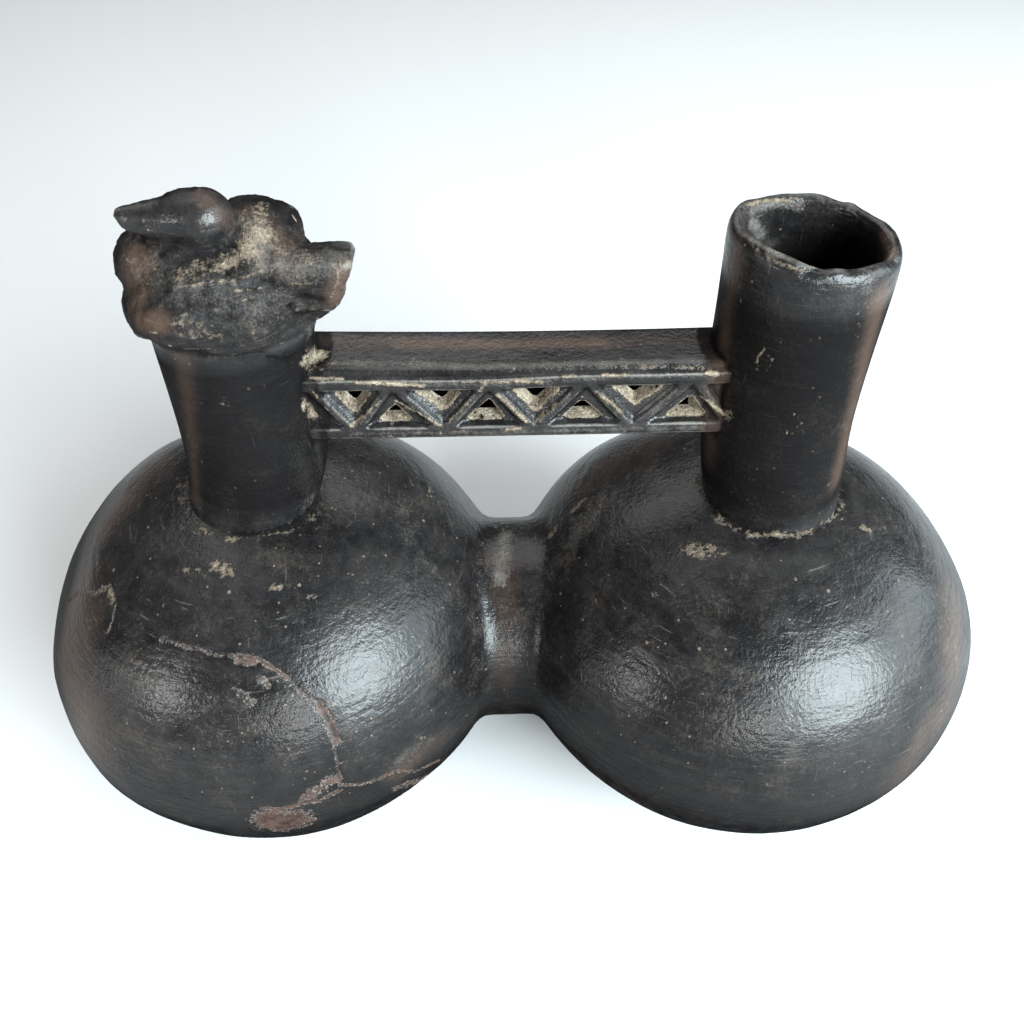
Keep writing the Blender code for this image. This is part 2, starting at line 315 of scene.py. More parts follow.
# %% Push the outline into shape
def push(piece, spots):
    """Move the skin along its normals around each spot: (pixel x, y, reach, amount out)."""
    tree = skin_of(piece)
    points, normals = points_of(piece), normals_of(piece)
    moves = np.zeros(len(points))
    for x, y, reach, amount in spots:
        away = np.linalg.norm(points - touch(tree, x, y), axis=1)
        moves += amount * fade(away, reach)
    set_points(piece, points + normals * moves[:, None])


BODY_PUSHES = (
    (120, 790, 24, 0.9), (250, 838, 30, 0.2), (760, 834, 34, 0.2), (60, 590, 20, -1.8),
    (80, 540, 18, -0.3), (930, 520, 26, -0.6), (400, 797, 24, -0.5), (575, 755, 24, -0.3),
    (150, 455, 24, 0.9), (952, 730, 24, -0.1), (590, 455, 24, 0.7), (460, 490, 14, -0.5),
)
push(vessel, BODY_PUSHES)
print("body pushed at", len(BODY_PUSHES), "places")

# %% [markdown]
# ## Cracks and marks, traced from the picture
#
# The left chamber is cracked: the burnished skin has lifted along fine lines and shows the
# redder clay beneath. Such marks sit at exact places, so each is a path of pixels that is
# laid on the clay through the camera. Here the skin gets small faces along the paths only,
# and the cracks are pressed in. The same paths tint the clay later on.

# %% Trace and press in the cracks
# Each mark is (half width in pixels, strength, path of pixels)
CRACKS = (
    (4, 0.5, ((161, 640), (184, 647), (203, 650), (215, 656), (231, 655))),
    (4, 0.75, ((231, 655), (257, 658), (273, 668), (289, 679), (305, 695), (317, 701))),
    (8, 0.95, ((319, 704), (325, 715), (332, 728), (336, 741))),
    (3.6, 0.9, ((335, 745), (338, 768), (340, 786))),
    (5, 0.85, ((340, 790), (321, 800), (302, 803), (282, 809), (263, 808))),
    (4.5, 0.75, ((340, 785), (359, 784), (378, 779), (394, 771), (416, 771), (439, 760))),
    (4, 0.6, ((64, 605), (78, 593), (97, 594), (110, 586))),
    (3, 0.5, ((116, 606), (113, 621), (108, 633))),
)
SPALLS = (
    (34, 1.0, ((274, 820), (284, 824), (292, 820))), (13, 0.6, ((306, 797), (322, 788), (334, 779))),
    (15, 0.45, ((398, 787), (418, 781), (432, 777))), (7, 0.7, ((240, 661), (254, 662))),
    (6, 0.6, ((263, 680), (268, 686))), (9, 0.3, ((238, 688), (252, 702))),
    (9, 0.5, ((329, 716), (333, 730))),
)
# Fine faces reach this many pixels beyond a mark
FINE_MARGIN, FINE_CUTS = 8, 3
CRACK_DEPTH, FLAKE_DEPTH = 0.30, 0.18
GRIT_SCALE, GRIT_SHARE = 0.9, 0.8
# The swells of a coiled wall: lumps per millimetre and height in millimetres
SWELLS = ((0.045, 0.20), (0.13, 0.07))


def pixels_per_mm(place):
    """How many pixels a millimetre covers at a place on the vessel."""
    return FOCAL_PIXELS / ((Vector(place) - EYE / MM) @ sight(PICTURE / 2, PICTURE / 2))


def trail(tree, path, step=3.0):
    """Places on the clay, in millimetres, along a path of pixels."""
    places = []
    for (x, y), (next_x, next_y) in zip(path, path[1:] or path):
        count = max(1, round(math.hypot(next_x - x, next_y - y) / step))
        places += [touch(tree, x + (next_x - x) * part / count, y + (next_y - y) * part / count)
                   for part in range(count + 1)]
    return np.array(places)


def traced(points, tree, marks):
    """How strongly the marks lie on each point, from 0 to 1."""
    strengths = np.zeros(len(points))
    for width, strength, path in marks:
        line = trail(tree, path)
        reach = width / pixels_per_mm(line[0])
        inside = (points > line.min(0) - reach) & (points < line.max(0) + reach)
        rows = np.flatnonzero(inside.all(axis=1))
        away = np.full(len(rows), reach)
        for place in line:
            away = np.minimum(away, np.linalg.norm(points[rows] - place, axis=1))
        strengths[rows] = np.maximum(strengths[rows], strength * fade(away, reach))
    return strengths


def refine(piece, chosen, cuts):
    """Subdivide the faces that touch the chosen points."""
    alone(piece)
    bpy.ops.object.mode_set(mode='EDIT')
    bpy.ops.mesh.select_mode(type='VERT')
    bpy.ops.mesh.select_all(action='DESELECT')
    bpy.ops.object.mode_set(mode='OBJECT')
    piece.data.vertices.foreach_set("select", chosen)
    bpy.ops.object.mode_set(mode='EDIT')
    bpy.ops.mesh.select_mode(type='FACE', use_extend=True, use_expand=True)
    bpy.ops.mesh.subdivide(number_cuts=cuts, quadcorner='INNERVERT')
    bpy.ops.object.mode_set(mode='OBJECT')


def press_cracks():
    """Fine faces along the cracks, then a groove along each and a shallow flake."""
    tree = skin_of(vessel)
    wide = [(width + FINE_MARGIN, 1.0, path) for width, strength, path in CRACKS + SPALLS]
    refine(vessel, traced(points_of(vessel), tree, wide) > 0.05, FINE_CUTS)
    points, normals = points_of(vessel), normals_of(vessel)
    depth = CRACK_DEPTH * traced(points, tree, CRACKS) ** 1.5
    depth += FLAKE_DEPTH * traced(points, tree, SPALLS) ** 0.5
    grit = np.array([noise.noise(Vector(point) * GRIT_SCALE) for point in points])
    set_points(vessel, points - normals * (depth * (1 + GRIT_SHARE * grit))[:, None])


def unevenness():
    """The slight hollows and swells that fingers leave in a coiled wall."""
    points, normals = points_of(vessel), normals_of(vessel)
    swell = [sum(noise.noise(Vector(point) * scale) * height for scale, height in SWELLS)
             for point in points]
    set_points(vessel, points + normals * np.array(swell)[:, None])


press_cracks()
unevenness()
print("body with cracks:", len(vessel.data.polygons), "faces")

# %% [markdown]
# ## The necks
#
# A neck is a clay cylinder luted onto its chamber, splayed a little where it was pressed
# down. Here each is a circle extruded upward ring by ring and then rounded with a
# subdivision surface, so a few rings are enough. The spout's rings turn over the lip and
# run down inside, which gives the mouth its true wall. It is joined with a Boolean, which
# keeps the crisp crease at its foot.

# %% Model the necks
NECK_SIDES = 24
# A subdivision surface draws a ring of these sides in to this share of its radius
ROUNDED_SHARE = 0.9886
LEFT_NECK = ((76, -57.4, 14.0), (83, -56.4, 14.0), (90, -54.6, 14.2), (98, -52.5, 14.4),
             (108, -51.6, 14.5), (122, -51.4, 14.4), (131, -51.4, 14.3), (134, -51.4, 14.1))
SPOUT = ((74, 57.6, 14.3), (81, 56.6, 14.5), (88, 55.3, 14.7), (96, 54.3, 14.9),
         (105, 52.8, 15.0), (117, 52.5, 14.8), (129, 52.4, 14.8), (138, 52.2, 15.0),
         (142.8, 52.0, 15.1), (144.3, 51.9, 14.7), (145.0, 51.8, 14.0), (145.0, 51.8, 12.9),
         (143.9, 51.8, 12.1), (140, 52.0, 11.8), (126, 52.2, 11.8), (110, 52.6, 12.0),
         (100, 53.6, 12.1))


def neck(name, rings):
    """A neck raised from its rings and rounded."""
    rings = [(height, axis, radius / ROUNDED_SHARE) for height, axis, radius in rings]
    piece = tower(name, rings, NECK_SIDES)
    return applied(piece, 'SUBSURF', levels=2, render_levels=2)


left_neck = neck("left_neck", LEFT_NECK)
spout = neck("spout", SPOUT)
print("necks:", len(left_neck.data.polygons), "and", len(spout.data.polygons), "faces")

# %% [markdown]
# ## The worn rim
#
# Years of handling have nibbled the lip: it dips and rises round the mouth, and the mouth is
# a little narrower from front to back. The rim is shaped by its angle round the axis.

# %% Shape the rim
RIM_START, RIM_RISE, RIM_AXIS = 132.0, 12.5, 52.0
# Waves round the lip: how many, height in millimetres and where they start, in radians
RIM_WAVES = ((2, 0.30, 0.6), (5, 0.20, 1.1))
RIM_RIPPLES, RIPPLE_HEIGHT = 11, 0.12
# How much the lip falls to the right and rises to the back
RIM_FALL, RIM_BACK = 1.15, 0.2
MOUTH_SQUEEZE = 0.06
# The right side of the mouth is drawn in, most at this angle
DRAWN_IN, DRAWN_AT = 0.6, 0.8


def shape_rim():
    """Waves round the lip, its fall to the right and the narrowed mouth."""
    points = points_of(spout)
    turn = np.arctan2(points[:, 1], points[:, 0] - RIM_AXIS)
    share = np.clip((points[:, 2] - RIM_START) / RIM_RISE, 0, 1) ** 2
    wave = sum(height * np.sin(count * turn + start) for count, height, start in RIM_WAVES)
    wave += (RIPPLE_HEIGHT * np.sin(RIM_RIPPLES * turn) - RIM_FALL * np.cos(turn)
             + RIM_BACK * np.sin(turn))
    points[:, 2] += wave * share
    points[:, 1] *= 1 - MOUTH_SQUEEZE * share
    points[:, 0] -= DRAWN_IN * share * np.clip(np.cos(turn - DRAWN_AT), 0, 1) ** 3
    set_points(spout, points)


RIM_CHIPS = (
    (806, 271, 1.6, -0.45), (815, 272, 1.4, -0.4), (824, 269, 1.5, -0.6), (767, 254, 1.6, -0.35),
    (744, 213, 1.8, -0.3), (778, 197, 1.8, -0.3), (851, 203, 2.2, 0.45), (888, 226, 1.8, -0.35),
    (896, 262, 1.6, -0.3), (852, 271, 1.6, -0.2),
)
# Small tan marks on the spout, as (half width in pixels, strength, path of pixels)
SPOUT_MARKS = (
    (4, 0.75, ((757, 358), (764, 351), (772, 359), (768, 369), (759, 366), (757, 358))),
    (4, 0.9, ((750, 341),)), (3, 0.65, ((852, 318), (860, 326), (856, 332))),
    (3, 0.6, ((794, 414), (803, 422), (797, 428), (806, 434))), (4, 0.9, ((757, 452),)),
    (4, 0.9, ((813, 451),)), (4, 0.9, ((786, 433),)), (3, 0.6, ((741, 300), (744, 306))),
)
MARK_MARGIN, MARK_CUTS = 7, 3

shape_rim()
push(spout, RIM_CHIPS)
around_marks = [(width + MARK_MARGIN, 1.0, path) for width, strength, path in SPOUT_MARKS]
refine(spout, traced(points_of(spout), skin_of(spout), around_marks) > 0.03, MARK_CUTS)
print("rim top, mm:", round(points_of(spout)[:, 2].max(), 2))

# %% [markdown]
# ## The bridge
#
# The bridge is a hollow bar. Its front is a thin panel with two rails and a zigzag rib,
# and a three-cornered window is cut through in every triangle. The panel was cut in stiff
# clay, so the edges are soft but the corners still read. A box, rods and wedge cutters make
# the plain shape; a fine remesh and a little smoothing give the softness.

# %% Model the bridge
BRIDGE_LOW, BRIDGE_TOP = 104.9, 121.4
BRIDGE_FRONT, BRIDGE_BACK = -6.5, 7.0
BRIDGE_LEFT, BRIDGE_RIGHT = -43, 44
TOP_RAIL, BOTTOM_RAIL = 119.0, 107.7
RAIL_RADIUS = 1.4
RIB_RADIUS = 0.95
RELIEF_DEPTH = -7.05
PANEL_BACK = -3.8
TURNS = (-38.4, -30.6, -22.9, -13.6, -5.0, 3.9, 13.4, 22.8, 33.4, 41.9)
BRIDGE_GRAIN = 0.48
WINDOW_FRONT, WINDOW_BACK = -7.1, PANEL_BACK + 0.8
# A window flares a little at the front, and its back is drawn in
FLARE, DRAWN_BACK = 1.10, 0.68
TIP_REST = 0.4
# Corners of each hand-cut window on the front face: two on a rail's side, then the tip
WINDOWS = (
    ((-33.7, 116.8), (-26.6, 116.7), (-30.6, 111.3)),
    ((-26.4, 109.1), (-19.4, 109.2), (-22.6, 113.4)),
    ((-19.0, 116.9), (-9.8, 116.7), (-13.5, 111.5)),
    ((-9.6, 109.2), (-1.7, 109.1), (-4.8, 114.3)),
    ((-0.5, 116.9), (8.9, 116.8), (4.0, 111.2)),
    ((9.0, 109.1), (17.4, 109.3), (12.8, 113.8)),
    ((17.8, 117.4), (28.6, 117.3), (23.0, 112.5)),
    ((28.7, 109.0), (37.3, 109.1), (33.5, 114.3)),
)
zigzag = [Vector((x, 0, TOP_RAIL if index % 2 == 0 else BOTTOM_RAIL))
          for index, x in enumerate(TURNS)]


def rod(name, start, end, radius, depth):
    """A round rod in the plane of the bridge's front."""
    start, end = Vector(start), Vector(end)
    middle = (start + end) / 2
    middle.y = depth
    along = end - start
    bpy.ops.mesh.primitive_cylinder_add(
        vertices=16, radius=radius * MM, depth=along.length * MM,
        location=middle * MM, rotation=(0, math.atan2(along.x, along.z), 0))
    return named(name)


def wedge(name, corners, start, end):
    """A three-cornered cutter whose back is drawn in, towards the rail or up to the tip."""
    bpy.ops.mesh.primitive_cylinder_add(vertices=3, radius=MM, depth=(end - start) * MM,
                                        rotation=(math.pi / 2, 0, 0))
    piece = named(name)
    points = points_of(piece)
    first, second, tip = [np.array(corner) for corner in corners]
    heart = (first + second) / 2 if tip[1] < first[1] else tip - (0, TIP_REST)
    middle = (first + second + tip) / 3
    for half, centre, share in ((points[:, 1] < 0, middle, FLARE),
                                (points[:, 1] >= 0, heart, DRAWN_BACK)):
        rows = np.flatnonzero(half)
        rows = rows[np.argsort(points[rows, 0])]
        for row, corner in zip(rows, sorted(corners)):
            points[row, 0], points[row, 2] = centre + (np.array(corner) - centre) * share
    points[:, 1] = np.where(points[:, 1] < 0, start, end)
    set_points(piece, points)
    bpy.ops.object.mode_set(mode='EDIT')
    bpy.ops.mesh.select_all(action='SELECT')
    bpy.ops.mesh.normals_make_consistent(inside=False)
    bpy.ops.object.mode_set(mode='OBJECT')
    return piece


bridge = block("bridge", (BRIDGE_LEFT, BRIDGE_FRONT, BRIDGE_LOW),
               (BRIDGE_RIGHT, BRIDGE_BACK, BRIDGE_TOP))
applied(bridge, 'BEVEL', width=0.7 * MM, segments=3)
parts = [rod(name, (BRIDGE_LEFT, 0, height), (BRIDGE_RIGHT, 0, height), RAIL_RADIUS, RELIEF_DEPTH)
         for name, height in (("top_rail", TOP_RAIL), ("bottom_rail", BOTTOM_RAIL))]
for index, (start, end) in enumerate(zip(zigzag, zigzag[1:])):
    parts.append(rod("rib_%d" % index, start, end, RIB_RADIUS, RELIEF_DEPTH))
merged(bridge, *parts)
cut(bridge, *[wedge("window_%d" % index, corners, WINDOW_FRONT, WINDOW_BACK)
              for index, corners in enumerate(WINDOWS)])
applied(bridge, 'REMESH', mode='VOXEL', voxel_size=BRIDGE_GRAIN * MM)
applied(bridge, 'SMOOTH', factor=0.5, iterations=2)
print("bridge:", len(bridge.data.polygons), "faces")

# %% [markdown]
# The bridge sags a little along its back, and its front edge is not quite straight. Only the
# openwork needs fine faces, so the rest of the bar is thinned out with Decimate, held back
# by a vertex group that marks what may go.

# %% Settle and thin the bridge
WORN_FLAT = -7.8
# The top's sag and slant and the front edge's ripple and rise, in millimetres
SAG, SLANT, RIPPLE, RISE = 0.45, 0.3, 0.18, 0.7


def settle_bridge():
    """Bow the top, then thin out the faces behind the openwork."""
    points = points_of(bridge)
    along = np.clip(points[:, 0] / 38.0, -1, 1)
    upper = np.clip((points[:, 2] - 113) / 8, 0, 1)
    rear = np.clip((points[:, 1] + 7) / 14, 0, 1)
    points[:, 2] -= upper * rear * (SAG * (1 - along ** 2) + SLANT * along)
    points[:, 2] += RIPPLE * np.sin(points[:, 0] / 6.5) * upper * (1 - rear)
    points[:, 2] += RISE * upper * (1 - rear) * np.clip(points[:, 0] / 30, 0, 1)
    proud = points[:, 1] < WORN_FLAT
    points[proud, 1] = WORN_FLAT + (points[proud, 1] - WORN_FLAT) * 0.35
    set_points(bridge, points)
    group = bridge.vertex_groups.new(name="plain")
    plain = np.flatnonzero((points[:, 1] > PANEL_BACK + 1.2) & (points[:, 2] < 119))
    group.add([int(row) for row in plain], 1.0, 'REPLACE')
    applied(bridge, 'DECIMATE', ratio=0.8, vertex_group="plain")
    bridge.vertex_groups.clear()


settle_bridge()
print("bridge thinned:", len(bridge.data.polygons), "faces")

# %% [markdown]
# ## The worn figure
#
# The figure on the closed neck is battered: a head with a short muzzle to the right, lobes
# on the left and a smooth pear-shaped lump across its top. Balls and one leaning block,
# grown together by a remesh, give such soft clay forms quickly; they stand on the neck's
# top, so their places are measured from there.

# %% Model the figure
FIGURE_GRAIN = 0.6
GOUGE_DEPTH, GOUGE_SCALE = 0.28, 0.5
SEAT = Vector((-51.8, 0.0, 130.0))
# Each chain is a row of stations: pixel x, y, depth along Y and radius, in millimetres
CHAINS = {
    "pear": ((115, 213, -4, 0.6), (121, 214.5, -4, 1.4), (130, 218, -4, 2.2),
             (150, 219.5, -3.5, 3.1), (171, 218.5, -3, 3.8), (190, 218, -3, 4.7),
             (204, 219, -3, 5.0)),
    "crest": ((240, 216, 3, 3.2), (252, 216, 3.5, 3.5), (268, 216.5, 4, 3.3), (286, 220, 4, 2.7),
              (289, 232, 3, 2.8)),
    "cheek": ((250, 315, -8.5, 4.0), (268, 313, -7.5, 4.0), (285, 318, -4.5, 3.8)),
    "jaw": ((292, 309, -4, 3.4), (308, 308, -4, 2.6), (320, 304, -4.5, 2.2)),
    "left_lobes": ((156, 264, -1, 6.9), (162, 288, -2, 6.1), (158, 306, -3, 6.0),
                   (148, 319, -5, 3.6)),
}
LOBES = (
    ("head", (221, 282, 0), (15.1, 15.8, 10.9)),
    ("crown", (256, 242, 1), (8.0, 9.0, 7.0)),
    ("nape", (196, 250, 0), (11.5, 9.5, 6.4)),
    ("snout_root", (283, 268, -2), (6.6, 6.4, 6.4)),
    ("snout_top", (284, 253, -1), (4.1, 4.6, 4.1)),
    ("crown_fill", (240, 236, 1), (5.0, 6.5, 5.0)),
    ("brow", (191, 306, -7.8), (10.4, 9.4, 6.0)),
    ("front", (232, 318, -7.0), (10.0, 8.6, 5.4)),
    ("throat", (272, 318, -1.9), (7.8, 10.0, 6.6)),
    ("temple", (271, 234, 0.8), (4.8, 5.2, 4.8)),
)
MUZZLE_CENTRE, MUZZLE_HALF, MUZZLE_LEAN = (13.8, -4.7, 10.1), (9.9, 4.2, 5.0), 0.40


def at_depth(x, y, depth):
    """The place on a pixel's line of sight at a depth along Y, in millimetres."""
    ray = sight(x, y)
    return Vector(EYE / MM) + ray * ((depth - EYE.y / MM) / ray.y)


def chain(name, stations, steps=4):
    """Overlapping balls along a smooth row of stations, like a rolled coil of clay."""
    rows = np.array([list(at_depth(x, y, depth)) + [radius] for x, y, depth, radius in stations])
    spots = np.linspace(0, len(rows) - 1, steps * (len(rows) - 1) + 1)
    rows = np.stack([np.interp(spots, range(len(rows)), column) for column in rows.T], 1)
    return [ball(name, row[:3], (row[3],) * 3, 20, 10) for row in rows]


def muzzle():
    """A block whose end leans out towards the top, its edges rounded."""
    centre, half = Vector(MUZZLE_CENTRE), Vector(MUZZLE_HALF)
    piece = block("muzzle", SEAT + centre - half, SEAT + centre + half)
    points = points_of(piece)
    ends = points[:, 0] > SEAT.x + centre.x
    points[ends, 0] += MUZZLE_LEAN * (points[ends, 2] - SEAT.z - centre.z)
    set_points(piece, points)
    return applied(piece, 'BEVEL', width=1.8 * MM, segments=4)


def roughen(piece, amount, scale):
    """The broken, gouged grain of clay that has lost its skin."""
    points, normals = points_of(piece), normals_of(piece)
    grain = [noise.noise(Vector((x, y, z * 1.6)) * scale) + 0.5 * noise.noise(
        Vector((x, y, z * 1.6)) * scale * 2.7) for x, y, z in points]
    keep = 1 - 0.85 * traced(points, skin_of(piece), SMOOTH_SKIN)
    set_points(piece, points + normals * (amount * np.array(grain) * keep)[:, None])


SMOOTH_SKIN = ((34, 1.0, ((130, 216), (172, 219), (208, 219))),)
# Gouges, creases and ridges: pixel x, y, reach and amount out, in millimetres
FIGURE_PUSHES = (
    (128, 238, 2.4, -0.35), (143, 242, 2.6, -0.4), (160, 246, 2.6, -0.4), (178, 250, 2.6, -0.4),
    (196, 255, 2.6, -0.4), (214, 252, 2.6, -0.4), (231, 242, 2.6, -0.4), (240, 226, 2.4, -0.4),
    (160, 255, 1.6, -0.7), (228, 271, 1.7, -0.8), (222, 281, 2.0, -0.5),
    (176, 290, 2.4, 0.4), (194, 287, 2.4, 0.5), (212, 284, 2.4, 0.5), (230, 282, 2.2, 0.5),
    (248, 277, 2.4, 0.5), (262, 272, 2.4, 0.4), (186, 300, 3.0, -0.4), (206, 298, 3.0, -0.5),
    (228, 294, 3.0, -0.5), (250, 288, 2.8, -0.5), (268, 282, 2.6, -0.4), (290, 307, 1.2, -0.8),
    (262, 317, 4.5, 0.6), (306, 301, 2.2, -1.0), (319, 303, 2.2, -0.8), (296, 298, 2.4, -0.6),
    (345, 246, 2.0, -0.5), (312, 262, 3.4, -0.3), (290, 262, 3.0, -0.3), (118, 285, 2.8, -0.5),
    (122, 331, 2.2, -0.4), (150, 298, 2.6, -0.4), (170, 345, 2.4, 0.4), (205, 347, 2.8, 0.4),
    (240, 345, 3.0, -0.5), (178, 318, 3.2, 0.3), (228, 322, 2.4, -0.4),
)

balls = [ball(name, at_depth(*pixel), half) for name, pixel, half in LOBES]
for name, stations in CHAINS.items():
    balls += chain(name, stations)
figure = joined("figure", *balls, muzzle())
applied(figure, 'REMESH', mode='VOXEL', voxel_size=FIGURE_GRAIN * MM)
applied(figure, 'SMOOTH', factor=0.5, iterations=7)
push(figure, FIGURE_PUSHES)
roughen(figure, GOUGE_DEPTH, GOUGE_SCALE)
print("figure:", len(figure.data.polygons), "faces")

# %% [markdown]
# ## One fired piece
#
# The vessel was luted together wet and fired as one, so the parts are united and the
# hollows cut out last: both chambers, the tube, both necks and the bridge's channel. The
# hollows never show from close by, so they are coarse.

# %% Unite the parts and hollow them out
WALL, TUBE_WALL = 4.8, 4.5
# The bridge's channel: half its length, its floor over the lower rail's axis, its walls
CHANNEL_REACH, CHANNEL_FLOOR, CHANNEL_WALL = 34, 0.9, 3.0


def hollow(name, form):
    """Inside of a chamber, with a flat floor over the base."""
    piece = ball(name, (form.axis, 0, form.middle),
                 (form.radius - WALL, form.radius - WALL, form.half_height - WALL), 40, 20)
    return cut_flat(piece, WALL)


def hollows():
    """All the inner spaces as one cutter."""
    inside = lying_tube("inside", TUBE_RADIUS - TUBE_WALL, 32)
    merged(inside, hollow("left_inside", LEFT), hollow("right_inside", RIGHT),
           tower("left_bore", ((70, -58, 11.2), (90, -55, 11.2), (100, -52.5, 11.4),
                               (122, -51.6, 11.4)), 32),
           tower("spout_bore", ((70, 58, 11.6), (88, 55.5, 11.8), (101, 53.4, 12.0),
                                (112, 52.6, 12.1)), 48))
    return inside


merged(vessel, left_neck, spout, bridge, figure)
channel = block("channel", (-CHANNEL_REACH, PANEL_BACK, BOTTOM_RAIL + CHANNEL_FLOOR),
                (CHANNEL_REACH, BRIDGE_BACK - CHANNEL_WALL, BRIDGE_TOP - CHANNEL_WALL))
refine(channel, [True] * 8, 11)
cut(vessel, hollows(), channel)
print("vessel:", len(vessel.data.polygons), "faces")

# %% [markdown]
# ## A clean, closed skin
#
# The Booleans leave points that all but coincide and thin slivers of faces. A real wall has
# none, and they would shade as dark specks. So near points are merged, slivers dissolved
# and the many-sided faces cut into triangles, and only what hangs together with the body is
# kept. By hand this is Merge by Distance, Degenerate Dissolve and Select Linked.

# %% Finish the skin
STRAY_GAP = 0.012
CREASE_ANGLE = 50


def keep_inside():
    """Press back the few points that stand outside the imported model's box."""
    points = points_of(vessel)
    for axis in range(3):
        points[:, axis] = np.clip(points[:, axis], low[axis] / MM, high[axis] / MM)
    set_points(vessel, points)


def clear_strays():
    """Merge points that coincide and keep only what hangs together with the body."""
    alone(vessel)
    bpy.ops.object.mode_set(mode='EDIT')
    bpy.ops.mesh.select_mode(type='VERT')
    bpy.ops.mesh.select_all(action='SELECT')
    bpy.ops.mesh.remove_doubles(threshold=STRAY_GAP * MM)
    bpy.ops.mesh.dissolve_degenerate(threshold=STRAY_GAP * MM)
    bpy.ops.mesh.select_mode(type='FACE')
    bpy.ops.mesh.select_face_by_sides(number=4, type='GREATER', extend=False)
    bpy.ops.mesh.quads_convert_to_tris(quad_method='BEAUTY', ngon_method='BEAUTY')
    bpy.ops.mesh.select_mode(type='VERT')
    bpy.ops.mesh.select_all(action='SELECT')
    bpy.ops.mesh.dissolve_degenerate(threshold=STRAY_GAP * MM)
    bpy.ops.mesh.select_all(action='DESELECT')
    bpy.ops.object.mode_set(mode='OBJECT')
    lowest = int(points_of(vessel)[:, 2].argmin())
    vessel.data.vertices[lowest].select = True
    bpy.ops.object.mode_set(mode='EDIT')
    bpy.ops.mesh.select_linked()
    bpy.ops.mesh.select_all(action='INVERT')
    bpy.ops.mesh.delete(type='VERT')
    bpy.ops.object.mode_set(mode='OBJECT')


keep_inside()
clear_strays()
bpy.ops.object.shade_smooth_by_angle(angle=math.radians(CREASE_ANGLE))
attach(vessel, "root")
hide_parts("double_vessel")
vessel.data.materials.clear()
vessel.data.calc_loop_triangles()
print("triangles:", len(vessel.data.loop_triangles))
